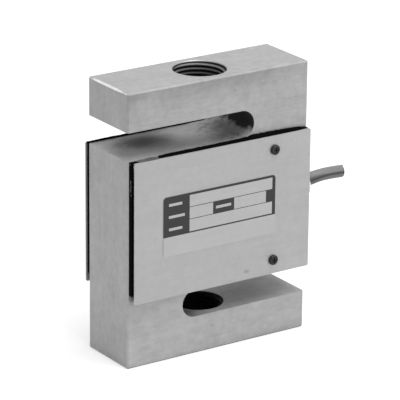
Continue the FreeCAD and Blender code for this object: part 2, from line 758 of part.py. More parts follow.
def makeGauge(doc, label, across, turn):
    # A foil that follows the wall of its bore: a thin ring cut down to the foil's length.
    outer = doc.addObject("Part::Cylinder", label + "Outside")
    inner = doc.addObject("Part::Cylinder", label + "Inside")
    outer.setExpression("Radius", "Sizes.windowBore / 2")
    inner.setExpression("Radius", "Sizes.windowBore / 2 - Sizes.gaugeSheet")
    for cylinder in (outer, inner):
        cylinder.setExpression("Height", "Sizes.gaugeWidth")
        place(cylinder, "0", "Sizes.gaugeWidth / 2", "0", Rotation(alongX, 90))
    ring = doc.addObject("Part::Cut", label + "Ring")
    ring.Base = outer
    ring.Tool = inner
    patch = doc.addObject("Part::Box", label + "Patch")
    patch.setExpression("Length", "Sizes.gaugeLength")
    patch.setExpression("Width", "Sizes.gaugeWidth")
    patch.setExpression("Height", "Sizes.windowBore")
    place(patch, "-Sizes.gaugeLength / 2", "-Sizes.gaugeWidth / 2", "0")
    gauge = doc.addObject("Part::Common", label)
    gauge.Label = label
    gauge.Base = ring
    gauge.Tool = patch
    place(gauge, across, "0", middleUp, Rotation(alongY, turn))
    return gauge


def makeTerminalBoard(doc):
    # It lies on the lower flat of the window's waist and carries two rows of four posts.
    body = newBody(doc, "terminal_board", "0", "0", f"{middleUp} - Sizes.windowWaist / 2")
    outline = newSketch(body, "boardOutline", "XY_Plane")
    drawBox(
        outline,
        "-Sizes.boardWidth / 2",
        "Sizes.boardWidth / 2",
        "-Sizes.boardLength / 2",
        "Sizes.boardLength / 2",
    )
    pad(body, "boardSheet", outline, "Sizes.boardSheet")
    posts = newSketch(body, "postShapes", "XY_Plane", "Sizes.boardSheet")
    for side in (-1, 1):
        across = f"{side} * Sizes.postSpread / 2"
        for row in postRows:
            forward = f"{row} * Sizes.postPitch"
            drawBox(
                posts,
                f"{across} - Sizes.postSide / 2",
                f"{across} + Sizes.postSide / 2",
                f"{forward} - Sizes.postSide / 2",
                f"{forward} + Sizes.postSide / 2",
            )
    pad(body, "posts", posts, "Sizes.postHeight")
    return body


def makeResistor(doc, label, row):
    # A chip that lies on the board between a pair of posts, with a metal cap at each end.
    forward = f"{row} * Sizes.postPitch"
    body = newBody(doc, label, "0", forward, f"{middleUp} + {boardTop}")
    side = newSketch(body, label + "Side", "XZ_Plane")
    end = "(Sizes.postSpread - Sizes.postSide) / 2"
    capped = f"({end} - Sizes.chipCap)"
    high = "Sizes.chipHeight"
    step = "Sizes.chipCapStep"
    drawPolygon(
        side,
        [
            (f"-{end}", "0"),
            (f"-{capped}", "0"),
            (f"-{capped}", step),
            (capped, step),
            (capped, "0"),
            (end, "0"),
            (end, high),
            (capped, high),
            (capped, f"{high} - {step}"),
            (f"-{capped}", f"{high} - {step}"),
            (f"-{capped}", high),
            (f"-{end}", high),
        ],
    )
    pad(body, label + "Chip", side, "Sizes.chipWidth", symmetric=True)
    return body


# ---- the whole cell ----

def makeParts(doc):
    cable = makeCable(doc)
    parts = [
        makeSpringBody(doc),
        makeGasket(doc, "front_gasket", f"-{blockFace}", 0),
        makeGasket(doc, "rear_gasket", blockFace, 180),
        makeCover(doc, "front_cover", f"-{coverBack}", 0),
        makeCover(doc, "rear_cover", coverBack, 180),
        makeCoverScrews(doc),
        makeNameplate(doc),
        makeGlandWasher(doc),
        makeGlandBody(doc),
        makeGlandCap(doc),
        makeGlandSeal(doc, cable),
        cable,
        makeTerminalBoard(doc),
        makeResistor(doc, "span_resistor", 0.5),
        makeResistor(doc, "balance_resistor", -0.5),
        makeBridgeWires(doc),
    ]
    cores = (
        ("lead_red", -1.5, -1, 1),
        ("lead_black", -0.5, -1, -1),
        ("lead_green", 0.5, 1, -1),
        ("lead_white", 1.5, 1, 1),
    )
    for label, row, side, level in cores:
        parts.append(makeLead(doc, label, row, side, level))
    for height, turn in (("upper", 0), ("lower", 180)):
        for side, across in (("left", "-Sizes.windowPitch / 2"), ("right", "Sizes.windowPitch / 2")):
            parts.append(makeGauge(doc, f"gauge_{height}_{side}", across, turn))
    return parts


def checkParts(doc, parts):
    for item in doc.Objects:
        if "Invalid" in item.State or "Error" in item.State:
            raise RuntimeError(f"{item.Label} did not recompute")
    for part in parts:
        if part.Shape.isNull() or not part.Shape.isValid():
            raise RuntimeError(f"{part.Label} has no valid shape")


def writeParts(parts):
    os.makedirs("parts", exist_ok=True)
    for part in parts:
        part.Shape.exportStep(f"parts/{part.Label}.step")


document = FreeCAD.newDocument("LoadCell")
fillSheet(document)
loadCellParts = makeParts(document)
document.recompute()
checkParts(document, loadCellParts)
writeParts(loadCellParts)
print(len(loadCellParts), "sub-parts written")
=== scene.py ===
import math

import bmesh
import bpy
from mathutils import Matrix, Vector, noise


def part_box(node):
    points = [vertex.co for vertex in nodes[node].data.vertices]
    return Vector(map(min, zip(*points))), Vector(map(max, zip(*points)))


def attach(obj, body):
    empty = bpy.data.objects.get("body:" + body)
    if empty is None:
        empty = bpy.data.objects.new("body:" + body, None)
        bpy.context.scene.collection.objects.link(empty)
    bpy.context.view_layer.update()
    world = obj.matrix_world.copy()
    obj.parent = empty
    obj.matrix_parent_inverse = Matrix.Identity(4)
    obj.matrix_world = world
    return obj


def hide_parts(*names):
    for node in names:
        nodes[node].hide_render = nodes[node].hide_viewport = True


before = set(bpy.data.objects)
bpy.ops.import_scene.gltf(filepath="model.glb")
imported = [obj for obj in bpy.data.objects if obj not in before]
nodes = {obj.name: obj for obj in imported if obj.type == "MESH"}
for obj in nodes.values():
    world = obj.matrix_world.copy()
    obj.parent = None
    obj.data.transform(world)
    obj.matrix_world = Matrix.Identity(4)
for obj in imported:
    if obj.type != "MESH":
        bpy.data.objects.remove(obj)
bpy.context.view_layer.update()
mm = 0.001

blockLow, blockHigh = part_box("spring_body")
coverLow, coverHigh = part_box("front_cover")
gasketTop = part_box("front_gasket")[1].z
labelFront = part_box("nameplate")[0].y
middle = (blockLow + blockHigh) / 2  # middle of the block, where its window is
print("frame loaded,", len(nodes), "nodes")

cameraSetup = {
    "azimuth": -34.18,  # degrees round the block, from its labelled face
    "elevation": 19.38,
    "roll": -0.55,
    "distance": 1.0656,
    "slideRight": 0.00064,
    "slideUp": 0.00159,
    "lens": 268.6,
    "sensorWidth": 36,
    "nearest": 0.05,
}


def makeCamera(setup):
    azimuth = math.radians(setup["azimuth"])
    elevation = math.radians(setup["elevation"])
    roll = math.radians(setup["roll"])
    back = Vector((
        math.sin(azimuth) * math.cos(elevation),
        -math.cos(azimuth) * math.cos(elevation),
        math.sin(elevation),
    ))
    right = Vector((math.cos(azimuth), math.sin(azimuth), 0))
    up = back.cross(right)
    spot = middle + back * setup["distance"] + right * setup["slideRight"] + up * setup["slideUp"]
    turnedRight = right * math.cos(roll) - up * math.sin(roll)
    turnedUp = right * math.sin(roll) + up * math.cos(roll)
    turned = Matrix((turnedRight, turnedUp, back)).transposed().to_4x4()
    data = bpy.data.cameras.new("camera")
    data.lens = setup["lens"]
    data.sensor_width = setup["sensorWidth"]
    data.clip_start = setup["nearest"]
    camera = bpy.data.objects.new("camera", data)
    bpy.context.scene.collection.objects.link(camera)
    camera.matrix_world = Matrix.Translation(spot) @ turned
    bpy.context.scene.camera = camera


makeCamera(cameraSetup)
print("camera set")


# Small helpers for node trees and meshes.

def addNode(tree, kind, inputs=None, **settings):
    # A value goes on the socket, and a socket given as a value is linked to it.
    node = tree.nodes.new(kind)
    for name, value in settings.items():
        setattr(node, name, value)
    for name, value in (inputs or {}).items():
        if isinstance(value, bpy.types.NodeSocket):
            tree.links.new(value, node.inputs[name])
        else:
            node.inputs[name].default_value = value
    return node


def calculate(tree, operation, first, second=0.0, clamp=False):
    node = addNode(tree, "ShaderNodeMath", {0: first, 1: second}, operation=operation, use_clamp=clamp)
    return node.outputs[0]


def calculateVector(tree, operation, first, second):
    return addNode(tree, "ShaderNodeVectorMath", {0: first, 1: second}, operation=operation).outputs[0]


def findLength(tree, vector):
    return addNode(tree, "ShaderNodeVectorMath", {0: vector}, operation="LENGTH").outputs["Value"]


def findPlace(tree):
    return addNode(tree, "ShaderNodeTexCoord").outputs["Object"]


def findFacing(tree, kind="Normal"):
    return split(tree, addNode(tree, "ShaderNodeNewGeometry").outputs[kind])


def split(tree, vector):
    return addNode(tree, "ShaderNodeSeparateXYZ", {0: vector}).outputs


def join(tree, first, second, third=0.0):
    return addNode(tree, "ShaderNodeCombineXYZ", {0: first, 1: second, 2: third}).outputs[0]


def makeNoise(tree, place, scale, detail, roughness=0.5, distortion=0.0):
    values = {
        "Vector": place, "Scale": scale, "Detail": detail, "Roughness": roughness, "Distortion": distortion,
    }
    return addNode(tree, "ShaderNodeTexNoise", values).outputs["Fac"]


def fade(tree, value, low, high, toLow=0.0, toHigh=1.0):
    # Smooth change from toLow to toHigh while value goes from low to high.
    values = {"Value": value, "From Min": low, "From Max": high, "To Min": toLow, "To Max": toHigh}
    return addNode(tree, "ShaderNodeMapRange", values, interpolation_type="SMOOTHSTEP").outputs["Result"]


def addUp(tree, layers, shares):
    # Sum of several layers, each times its share.
    total = 0.0
    for name, share in shares.items():
        total = calculate(tree, "ADD", total, calculate(tree, "MULTIPLY", layers[name], share))
    return total


def swingTone(tree, value, depth):
    # Turns a noise round 0.5 into a factor round 1.
    swing = calculate(tree, "MULTIPLY", calculate(tree, "SUBTRACT", value, 0.5), depth)
    return calculate(tree, "ADD", swing, 1.0)


def mixColour(tree, factor, first, second):
    values = {"Factor": factor, 6: first, 7: second}
    return addNode(tree, "ShaderNodeMix", values, data_type="RGBA").outputs[2]


def scaleColour(tree, colour, factor):
    if not isinstance(colour, bpy.types.NodeSocket):
        colour = colour[:3]
    return addNode(tree, "ShaderNodeVectorMath", {0: colour, "Scale": factor}, operation="SCALE").outputs[0]


def grey(level):
    return (level, level, level, 1)


def newGroup(name, inputs, outputs):
    group = bpy.data.node_groups.new(name, "ShaderNodeTree")
    for label, value in inputs.items():
        kind = "NodeSocketVector" if isinstance(value, tuple) else "NodeSocketFloat"
        socket = group.interface.new_socket(label, in_out="INPUT", socket_type=kind)
        socket.default_value = value
    for label in outputs:
        group.interface.new_socket(label, in_out="OUTPUT", socket_type="NodeSocketFloat")
    given = group.nodes.new("NodeGroupInput").outputs
    result = group.nodes.new("NodeGroupOutput").inputs
    return group, given, result


def useGroup(tree, group, **values):
    return addNode(tree, "ShaderNodeGroup", values, node_tree=group).outputs


def newMaterial(name, values):
    material = bpy.data.materials.new(name)
    material.use_nodes = True
    tree = material.node_tree
    shader = tree.nodes["Principled BSDF"]
    for socket, value in values.items():
        shader.inputs[socket].default_value = value
    return material, tree, shader


def addRoughness(tree, shader, height, roughness, swing):
    rough = fade(tree, height, 0.25, 0.75, roughness - swing, roughness + swing)
    tree.links.new(rough, shader.inputs["Roughness"])


def addBump(tree, shader, height, distance, strength=1.0):
    bump = addNode(tree, "ShaderNodeBump", {"Height": height, "Distance": distance, "Strength": strength})
    tree.links.new(bump.outputs["Normal"], shader.inputs["Normal"])


def wear(piece, material):
    # Puts one material on a piece or on a node of the frame.
    piece.data.materials.clear()
    piece.data.materials.append(material)


def addMesh(name, mesh, material, smooth=False):
    data = bpy.data.meshes.new(name)
    mesh.to_mesh(data)
    mesh.free()
    if smooth:
        for face in data.polygons:
            face.use_smooth = True
    piece = bpy.data.objects.new(name, data)
    bpy.context.scene.collection.objects.link(piece)
    wear(piece, material)
    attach(piece, "root")
    return piece


def joinRings(mesh, first, second):
    for step in range(len(first)):
        following = (step + 1) % len(first)
        mesh.faces.new((first[step], first[following], second[following], second[step]))


def closeTube(mesh, rings):
    # Skins a row of rings and shuts both ends.
    for first, second in zip(rings, rings[1:]):
        joinRings(mesh, first, second)
    mesh.faces.new(rings[0])
    mesh.faces.new(rings[-1])
    bmesh.ops.recalc_face_normals(mesh, faces=mesh.faces)


# Shader groups that several finishes share.

brushShares = {
    "lines": 0.22,  # fine marks of the grinding wheel
    "streaks": 0.24,  # longer ones
    "clouds": 0.24,
    "mottle": 0.30,
}


def makeBrushMarks():
    # Fine lines drawn out along one direction, with slow clouds over them.
    group, given, result = newGroup(
        "brushMarks", {"Stretch": (60, 900, 900), "Clouds": 60, "Depth": 0.1}, ["Tone", "Height"])
    place = findPlace(group)
    sideways = calculate(group, "ABSOLUTE", findFacing(group, "True Normal")["X"])
    onEnd = calculate(group, "GREATER_THAN", sideways, 0.8)  # a side face has its marks upright
    parts = split(group, given["Stretch"])
    upright = join(group, parts["Z"], parts["Y"], parts["X"])
    values = {"Factor": onEnd, 4: given["Stretch"], 5: upright}
    turned = addNode(group, "ShaderNodeMix", values, data_type="VECTOR").outputs[1]
    drawn = calculateVector(group, "MULTIPLY", place, turned)
    layers = {
        "lines": makeNoise(group, drawn, 1.0, 4.0, 0.6),
        "streaks": makeNoise(group, drawn, 0.28, 3.0, 0.65, 0.6),
        "clouds": makeNoise(group, place, given["Clouds"], 3.0, 0.55),
        "mottle": makeNoise(group, place, 420.0, 3.0, 0.55),
    }
    tone = swingTone(group, addUp(group, layers, brushShares), given["Depth"])
    group.links.new(tone, result["Tone"])
    group.links.new(layers["lines"], result["Height"])
    return group


def makeSpecks():
    # A few small marks and nicks, far apart, each drawn out a little along the brushing.
    group, given, result = newGroup(
        "specks", {"Stretch": (60, 200, 200), "Rarity": 0.8, "Size": 0.18}, ["Speck"])
    drawn = calculateVector(group, "MULTIPLY", findPlace(group), given["Stretch"])
    cells = addNode(group, "ShaderNodeTexVoronoi", {"Vector": drawn, "Scale": 1.0}).outputs
    near = fade(group, cells["Distance"], 0.0, given["Size"], 1.0, 0.0)
    draw = addNode(group, "ShaderNodeSeparateColor", {0: cells["Color"]}).outputs[0]
    chosen = calculate(group, "GREATER_THAN", draw, given["Rarity"])
    group.links.new(calculate(group, "MULTIPLY", near, chosen), result["Speck"])
    return group


def makeCornerFinder():
    # Finds the corners, where handling rubs a surface bright and where a painted highlight goes.
    group, given, result = newGroup("cornerFinder", {"Radius": 0.0005, "Gain": 3.0}, ["Edge"])
    rounded = addNode(group, "ShaderNodeBevel", {"Radius": given["Radius"]}, samples=6).outputs["Normal"]
    flat = addNode(group, "ShaderNodeNewGeometry").outputs["Normal"]
    agree = addNode(group, "ShaderNodeVectorMath", {0: rounded, 1: flat}, operation="DOT_PRODUCT")
    turned = calculate(group, "SUBTRACT", 1.0, agree.outputs["Value"])
    group.links.new(calculate(group, "MULTIPLY", turned, given["Gain"], clamp=True), result["Edge"])
    return group


def makeCornerDirt():
    # Finds the places that their surroundings shut in, for dirt and painted shade there, broken up by soft
    # blotches.
    group, given, result = newGroup(
        "cornerDirt", {"Reach": 0.008, "Blotches": 150, "Start": 0.15, "End": 0.9}, ["Dirt"])
    light = addNode(group, "ShaderNodeAmbientOcclusion", {"Distance": given["Reach"]}, samples=8)
    shut = calculate(group, "SUBTRACT", 1.0, light.outputs["AO"])
    spots = makeNoise(group, findPlace(group), given["Blotches"], 2.0)
    blotch = calculate(group, "MULTIPLY", calculate(group, "SUBTRACT", spots, 0.5), 0.25)
    uneven = calculate(group, "ADD", shut, blotch)
    group.links.new(fade(group, uneven, given["Start"], given["End"]), result["Dirt"])
    return group


def makePatch():
    # One soft blotch round a chosen place, such as the marks of a cutter, painted shade or a painted
    # highlight.
    # Upright is its share on the front and back, and Level its share on all other faces.
    group, given, result = newGroup(
        "patch",
        {
            "Centre": (0, 0, 0),
            "Size": (0.01, 0.01, 0.01),
            "Softness": 0.6,
            "Ragged": 0.25,
            "Grain": 200,
            "Level": 1.0,
            "Upright": 0.0,
        },
        ["Patch"],
    )
    across = calculate(group, "ABSOLUTE", findFacing(group)["Y"])
    values = {"Factor": across, 2: given["Level"], 3: given["Upright"]}
    share = addNode(group, "ShaderNodeMix", values, data_type="FLOAT").outputs[0]
    place = findPlace(group)
    away = calculateVector(group, "SUBTRACT", place, given["Centre"])
    far = findLength(group, calculateVector(group, "DIVIDE", away, given["Size"]))
    spots = makeNoise(group, place, given["Grain"], 3.0)
    rough = calculate(group, "MULTIPLY", calculate(group, "SUBTRACT", spots, 0.5), given["Ragged"])
    start = calculate(group, "SUBTRACT", 1.0, given["Softness"])
    spread = fade(group, calculate(group, "ADD", far, rough), start, 1.0, 1.0, 0.0)
    group.links.new(calculate(group, "MULTIPLY", spread, share), result["Patch"])
    return group


grainShares = {"fine": 0.4, "slow": 0.6}


def makeGrain():
    # The fine pebbled skin of rubber, plastic and painted print.
    group, given, result = newGroup("grain", {"Scale": 1500, "Depth": 0.2}, ["Tone", "Height"])
    place = findPlace(group)
    layers = {
        "fine": makeNoise(group, place, given["Scale"], 3.0, 0.6),
        "slow": makeNoise(group, place, 110.0, 2.0),
    }
    tone = swingTone(group, addUp(group, layers, grainShares), given["Depth"])
    group.links.new(tone, result["Tone"])
    group.links.new(layers["fine"], result["Height"])
    return group


brushMarks = makeBrushMarks()
specks = makeSpecks()
cornerFinder = makeCornerFinder()
cornerDirt = makeCornerDirt()
patch = makePatch()
grain = makeGrain()
print("shader groups built")


def makeMetal(name, setup):
    # A ground or turned metal: brush marks, bright corners that are partly wear and partly painted
    # highlight, and dirt and painted shade where it is shut in.
    material, tree, shader = newMaterial(name, {"Specular IOR Level": setup["specular"]})
    marks = useGroup(
        tree, brushMarks, Stretch=setup["stretch"], Clouds=setup["clouds"], Depth=setup["depth"])
    edge = useGroup(tree, cornerFinder, Radius=setup["edgeRadius"], Gain=setup["edgeGain"])["Edge"]
    shadeAndDirt = useGroup(
        tree, cornerDirt, Reach=setup["shadeAndDirtReach"], Start=setup["shadeAndDirtStart"], End=setup["shadeAndDirtEnd"])["Dirt"]
    speck = useGroup(tree, specks, Stretch=setup["speckStretch"], Rarity=setup["speckRarity"])["Speck"]
    speckMask = calculate(tree, "MULTIPLY", speck, setup["speckShare"])
    colour = mixColour(tree, speckMask, setup["colour"], setup["speckColour"])
    # Bright corners: partly wear, partly painted highlight.
    darkTone, paleTone = setup["edgeTones"]
    broken = calculate(tree, "MULTIPLY", edge, fade(tree, marks["Tone"], darkTone, paleTone, 0.1, 1.0))
    colour = mixColour(tree, broken, colour, setup["edgeColour"])
    bareMetal = calculate(tree, "SUBTRACT", 1.0, calculate(tree, "MULTIPLY", shadeAndDirt, setup["shadeAndDirtShare"]))
    colour = mixColour(tree, bareMetal, setup["shadeAndDirtColour"], colour)
    for spot in setup["patches"]:
        mask = useGroup(
            tree, patch, Centre=spot["centre"], Size=spot["size"], Softness=spot["softness"],
            Ragged=spot["ragged"], Grain=spot.get("grain", 200), Level=spot.get("level", 1.0),
            Upright=spot.get("upright", 0.0),
        )["Patch"]
        share = calculate(tree, "MULTIPLY", mask, spot["share"])
        colour = mixColour(tree, share, colour, spot["colour"])
        bareMetal = calculate(tree, "MULTIPLY", bareMetal, calculate(tree, "SUBTRACT", 1.0, share))
    tree.links.new(scaleColour(tree, colour, marks["Tone"]), shader.inputs["Base Color"])
    # Dirt and painted shade lie on the metal and hide its shine.
    tree.links.new(calculate(tree, "MULTIPLY", bareMetal, setup["metallic"]), shader.inputs["Metallic"])
    swing = setup["roughnessSwing"]
    rough = fade(tree, marks["Height"], 0.2, 0.8, setup["roughness"] - swing, setup["roughness"] + swing)
    dull = calculate(tree, "MULTIPLY", calculate(tree, "SUBTRACT", 1.0, bareMetal), setup["shadeAndDirtRoughness"])
    tree.links.new(calculate(tree, "ADD", rough, dull, clamp=True), shader.inputs["Roughness"])
    addBump(tree, shader, marks["Height"], setup["bump"])
    return material


rubberDust = {"radius": 0.0003, "gain": 2.0, "colour": grey(0.35)}


def makeRubber(name, setup):
    # A dull or shiny skin with its own grain: rubber, sealant, core skins and print.
    material, tree, shader = newMaterial(name, {"Metallic": 0.0, "Specular IOR Level": setup["specular"]})
    skin = useGroup(tree, grain, Scale=setup["scale"], Depth=setup["depth"])
    colour = scaleColour(tree, setup["colour"], skin["Tone"])
    edge = useGroup(tree, cornerFinder, Radius=rubberDust["radius"], Gain=rubberDust["gain"])["Edge"]
    dust = calculate(tree, "MULTIPLY", edge, setup["dust"])
    colour = mixColour(tree, dust, colour, rubberDust["colour"])
    tree.links.new(colour, shader.inputs["Base Color"])
    addRoughness(tree, shader, skin["Height"], setup["roughness"], 0.07)
    addBump(tree, shader, skin["Height"], setup["bump"])
    return material


# The block, with its two tapped holes.

threadSizes = {
    "majorRadius": 9.525 * mm,
    "minorRadius": 8.72 * mm,
    "pitch": 1.5875 * mm,
    "crest": 0.2 * mm,
    "bedded": 0.08 * mm,  # how far the ridge's foot reaches into the wall
    "mouth": 0.4 * mm,  # depth and width of the countersink, which cuts the ridge off
    "topAngle": 172,  # where the ridge runs out under the countersink, in degrees
    "topRoom": 1.05,  # half pitches from the hole's top down to the middle of the ridge's end
    "endRoom": 1.1,  # pitches of the hole's depth that the ridge leaves free
    "stepsPerTurn": 72,
    "runOutSteps": 14,
    "armThickness": 14.1 * mm,
}
armThickness = threadSizes["armThickness"]
frontOnly = {"level": 0.0, "upright": 1.0}  # for marks that stay on the front


def holeWallShade(height):
    # Painted shade: black wall of a tapped hole, seen between the ridges of its thread.
    return {
        "centre": (0.0, 0.0, height),
        "size": (0.01054, 0.01054, 0.0174),
        "softness": 0.02,
        "ragged": 0.0,
        "share": 1.0,
        "colour": grey(0.003),
        "upright": 1.0,
    }


blockFinish = {
    "colour": grey(0.385),
    "metallic": 0.4,
    "specular": 0.5,
    "roughness": 0.42,
    "stretch": (170, 1150, 1150),
    "clouds": 110,
    "depth": 1.15,
    "speckStretch": (120, 260, 260),
    "speckRarity": 0.75,
    "speckShare": 0.35,
    "speckColour": grey(0.12),
    "edgeRadius": 0.0005,
    "edgeGain": 1.5,
    "edgeTones": (0.93, 1.07),  # tones of the brush marks between which a bright corner, partly wear and partly painted highlight, comes in
    "edgeColour": grey(0.42),
    # Darkening where the surroundings shut the surface in: partly dirt, partly painted shade.
    "shadeAndDirtReach": 0.008,
    "shadeAndDirtStart": 0.25,
    "shadeAndDirtEnd": 0.95,
    "shadeAndDirtShare": 0.45,
    "shadeAndDirtColour": grey(0.05),
    "shadeAndDirtRoughness": 0.45,
    "roughnessSwing": 0.05,
    "bump": 0.000006,
    "patches": (  # blotches, with their centres and half sizes in metres
        {   # dark soft blotch on the floor of the upper slot
            "centre": (-0.0215, 0.0040, 0.0771),
            "size": (0.0165, 0.0112, 0.004),
            "softness": 0.95,
            "ragged": 0.3,
            "share": 0.80,
            "colour": grey(0.02),
        },
        {   # painted light on the floor at the mouth of the upper slot, with ragged edges
            "centre": (-0.0330, -0.0040, 0.0771),
            "size": (0.0065, 0.0085, 0.003),
            "softness": 0.5,
            "ragged": 3.6,
            "share": 0.35,
            "colour": grey(0.5),
            "grain": 420,
        },
        {   # painted shade over the whole slot floor, under the upper arm
            "centre": (-0.0100, 0.0, 0.0771),
            "size": (0.0300, 0.0300, 0.003),
            "softness": 0.6,
            "ragged": 0.3,
            "share": 0.22,
            "colour": grey(0.06),
        },
        {   # marks of the cutter near the slot's round end
            "centre": (0.0115, -0.0010, 0.0775),
            "size": (0.0095, 0.0125, 0.004),
            "softness": 0.5,
            "ragged": 3.6,
            "share": 0.30,
            "colour": grey(0.05),
            "grain": 430,
        },
        {   # smudge along the front of the slot floor
            "centre": (0.0085, -0.0088, 0.0771),
            "size": (0.0080, 0.0034, 0.003),
            "softness": 0.9,
            "ragged": 0.9,
            "share": 0.5,
            "colour": grey(0.02),
            "grain": 500,
        },
        {   # bright scratches among the cutter's marks
            "centre": (0.0125, -0.0030, 0.0776),
            "size": (0.0062, 0.0115, 0.0036),
            "softness": 0.5,
            "ragged": 3.6,
            "share": 0.5,
            "colour": grey(0.42),
            "grain": 400,
        },
        {   # painted shade: black upper half of the slot's round end
            "centre": (0.0155, -0.0040, 0.0845),
            "size": (0.0126, 0.0230, 0.0065),
            "softness": 0.38,
            "ragged": 0.7,
            "share": 1.0,
            "colour": grey(0.003),
            "grain": 420,
        },
        {   # painted shade: the lower slot's floor darkens towards its round end
            "centre": (-0.0130, 0.0, 0.0160),
            "size": (0.0120, 0.0300, 0.006),
            "softness": 0.8,
            "ragged": 0.4,
            "share": 0.9,
            "colour": grey(0.04),
        },
        {   # painted shade: a dark band across the lower slot's floor, darker towards the back
            "centre": (0.0220, 0.0040, 0.0141),
            "size": (0.0450, 0.0180, 0.003),
            "softness": 1.0,
            "ragged": 0.7,
            "share": 0.27,
            "colour": grey(0.06),
            "grain": 160,
        },
        {   # painted shade along the top of the upper arm's front, dimming the highlight on its chamfer
            "centre": (0.0000, -0.0127, 0.1040),
            "size": (0.0700, 0.0100, 0.0130),
            "softness": 1.0,
            "ragged": 0.35,
            "share": 0.42,
            "colour": grey(0.2),
            "grain": 130,
            **frontOnly,
        },
        {   # the same painted shade, stronger at its left corner
            "centre": (-0.0400, -0.0127, 0.1030),
            "size": (0.0110, 0.0100, 0.0140),
            "softness": 1.0,
            "ragged": 0.35,
            "share": 0.45,
            "colour": grey(0.2),
            "grain": 130,
            **frontOnly,
        },
        {   # wiped part of the lower arm's front
            "centre": (-0.0300, -0.0127, 0.0060),
            "size": (0.0280, 0.0100, 0.0240),
            "softness": 0.9,
            "ragged": 0.35,
            "share": 0.28,
            "colour": grey(0.62),
            "grain": 130,
            **frontOnly,
        },
        holeWallShade(blockHigh.z - armThickness / 2),
        holeWallShade(blockLow.z + armThickness / 2),
        {   # painted highlight on the edges at the end of the upper arm
            "centre": (-0.0381, 0.0, 0.1016),
            "size": (0.0008, 0.0155, 0.0008),
            "softness": 0.35,
            "ragged": 0.3,
            "share": 1.0,
            "colour": grey(1.0),
            "grain": 500,
        },
    ),
}

blockSteel = makeMetal("groundSteel", blockFinish)
wear(nodes["spring_body"], blockSteel)


def makeThread(name, low, high, material, sizes, mouthUp):
    # One helical ridge that fades out at both ends of its hole, and is cut off by the countersink.
    foot = sizes["majorRadius"] + sizes["bedded"]
    halfPitch = sizes["pitch"] / 2
    halfCrest = sizes["crest"] / 2
    # Share of the rise, and place from the ridge's middle.
    profile = ((0, -halfPitch), (1, -halfCrest), (1, halfCrest), (0, halfPitch))
    turns = (high - low) / sizes["pitch"] - sizes["endRoom"]
    steps = int(turns * sizes["stepsPerTurn"])
    stepAngle = 2 * math.pi / sizes["stepsPerTurn"]
    first = math.radians(sizes["topAngle"]) - stepAngle * steps
    mesh = bmesh.new()
    rows = []
    for step in range(steps + 1):
        angle = first + stepAngle * step
        up = high - sizes["topRoom"] * halfPitch - sizes["pitch"] * (steps - step) / sizes["stepsPerTurn"]
        ease = min(1.0, step / sizes["runOutSteps"], (steps - step) / sizes["runOutSteps"])
        rise = (foot - sizes["minorRadius"]) * ease
        row = []
        for share, offset in profile:
            radius = foot - rise * share
            height = up + offset
            intoMouth = height - (high - sizes["mouth"]) if mouthUp else low + sizes["mouth"] - height
            if intoMouth > 0:
                radius = max(radius, foot + intoMouth)
            row.append(mesh.verts.new((radius * math.cos(angle), radius * math.sin(angle), height)))
        rows.append(row)
    for before, after in zip(rows, rows[1:]):
        for corner in range(3):
            mesh.faces.new((before[corner], before[corner + 1], after[corner + 1], after[corner]))
    bmesh.ops.recalc_face_normals(mesh, faces=mesh.faces)
    sample = mesh.faces[len(mesh.faces) // 2 + 1]
    spot = sample.calc_center_median()
    if sample.normal.dot(Vector((spot.x, spot.y, 0))) > 0:
        bmesh.ops.reverse_faces(mesh, faces=mesh.faces)
    addMesh(name, mesh, material)


threadFinish = {
    "crestColour": grey(0.26),
    # painted shade in the roots and further down the hole
    "rootShadeColour": grey(0.004),
    "roughness": 0.5,
    "metallic": 0.1,
    "specular": 0.1,
    "depthDark": 7.5 * mm,  # how far down the hole the ridges are lost in the dark
    "crestFade": 0.1 * mm,
    "rootFade": 0.15 * mm,
    "scale": 1400,
    "depth": 0.5,
    "bump": 0.00001,
}
# The lower thread's crests are painted near black too, as painted shade deep in its hole.
lowerThreadFinish = dict(threadFinish)
lowerThreadFinish.update({"crestColour": grey(0.0015), "metallic": 0.0})


def makeThreadSteel(name, setup, mouthHeight):
    # Bright on the crests near the mouth, with painted shade that makes the roots and the deeper turns
    # black.
    values = {"Metallic": setup["metallic"], "Specular IOR Level": setup["specular"]}
    material, tree, shader = newMaterial(name, values)
    skin = useGroup(tree, grain, Scale=setup["scale"], Depth=setup["depth"])
    parts = split(tree, findPlace(tree))
    radius = findLength(tree, join(tree, parts["X"], parts["Y"]))
    crestEnd = threadSizes["minorRadius"] + setup["crestFade"]
    rootStart = threadSizes["majorRadius"] - setup["rootFade"]
    crest = fade(tree, radius, crestEnd, rootStart, 1.0, 0.0)
    lit = fade(tree, parts["Z"], mouthHeight - setup["depthDark"], mouthHeight)
    bright = scaleColour(tree, setup["crestColour"], skin["Tone"])
    colour = mixColour(tree, calculate(tree, "MULTIPLY", crest, lit), setup["rootShadeColour"], bright)
    tree.links.new(colour, shader.inputs["Base Color"])
    addRoughness(tree, shader, skin["Height"], setup["roughness"], 0.08)
    addBump(tree, shader, skin["Height"], setup["bump"])
    return material


makeThread(
    "upper_thread_ridges", blockHigh.z - armThickness, blockHigh.z,
    makeThreadSteel("upperThread", threadFinish, blockHigh.z), threadSizes, True,
)
makeThread(
    "lower_thread_ridges", blockLow.z, blockLow.z + armThickness,
    makeThreadSteel("lowerThread", lowerThreadFinish, blockLow.z + armThickness), threadSizes, False,
)
print("block and threads done")


# The covers and their gaskets.

